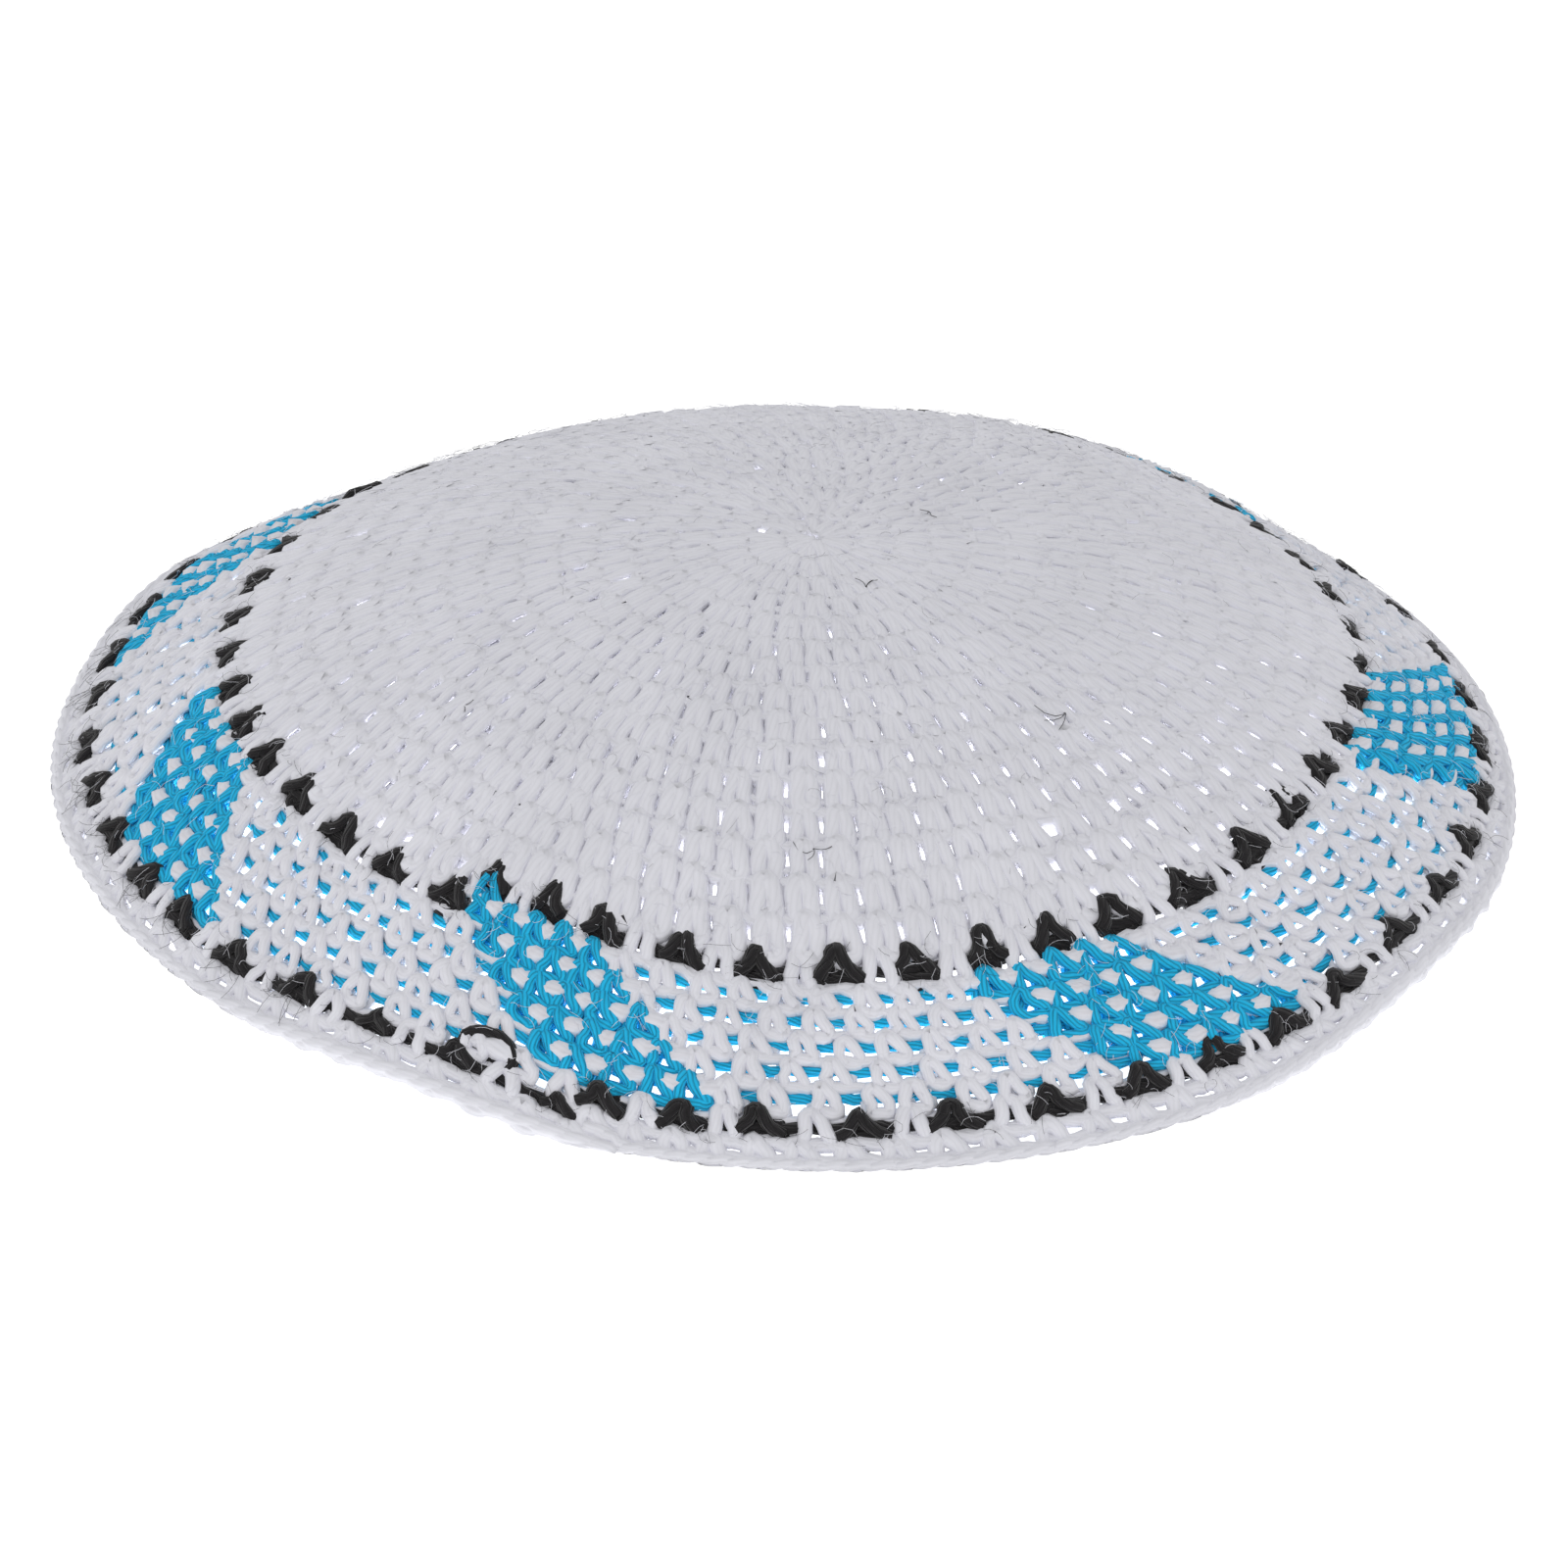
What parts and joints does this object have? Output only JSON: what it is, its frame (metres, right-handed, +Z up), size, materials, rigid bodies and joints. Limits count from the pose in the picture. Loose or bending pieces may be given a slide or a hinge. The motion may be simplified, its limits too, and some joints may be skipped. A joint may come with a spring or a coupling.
{
  "type": "crocheted kippah skullcap",
  "caption": "Shallow round crocheted skullcap, white with a border of slanted blue blocks between rounds of black dashes, open underneath for the top of a head.",
  "frame": {"origin": "middle of the cap's footprint, at the level of the surface the rim rests on", "axes": "+Z up through the crown, +X to the right and -Y to the front as the picture shows the cap"},
  "size_m": [0.191, 0.189, 0.0341],
  "materials": {
    "white_yarn": "matt, slightly fuzzy plied yarn",
    "black_yarn": "matt, slightly fuzzy plied yarn",
    "blue_yarn": "smooth plied yarn with a soft sheen"
  },
  "bodies": {
    "root": {"crown": "white_yarn", "inner_dash_round": "black_yarn", "blue_block_1": "blue_yarn", "blue_block_2": "blue_yarn", "blue_block_3": "blue_yarn", "blue_block_4": "blue_yarn", "blue_block_5": "blue_yarn", "blue_block_6": "blue_yarn", "blue_block_7": "blue_yarn", "white_field_1": "white_yarn", "white_field_2": "white_yarn", "white_field_3": "white_yarn", "white_field_4": "white_yarn", "white_field_5": "white_yarn", "white_field_6": "white_yarn", "white_field_7": "white_yarn", "outer_dash_round": "black_yarn", "edge_round": "white_yarn"}
  },
  "joints": []
}
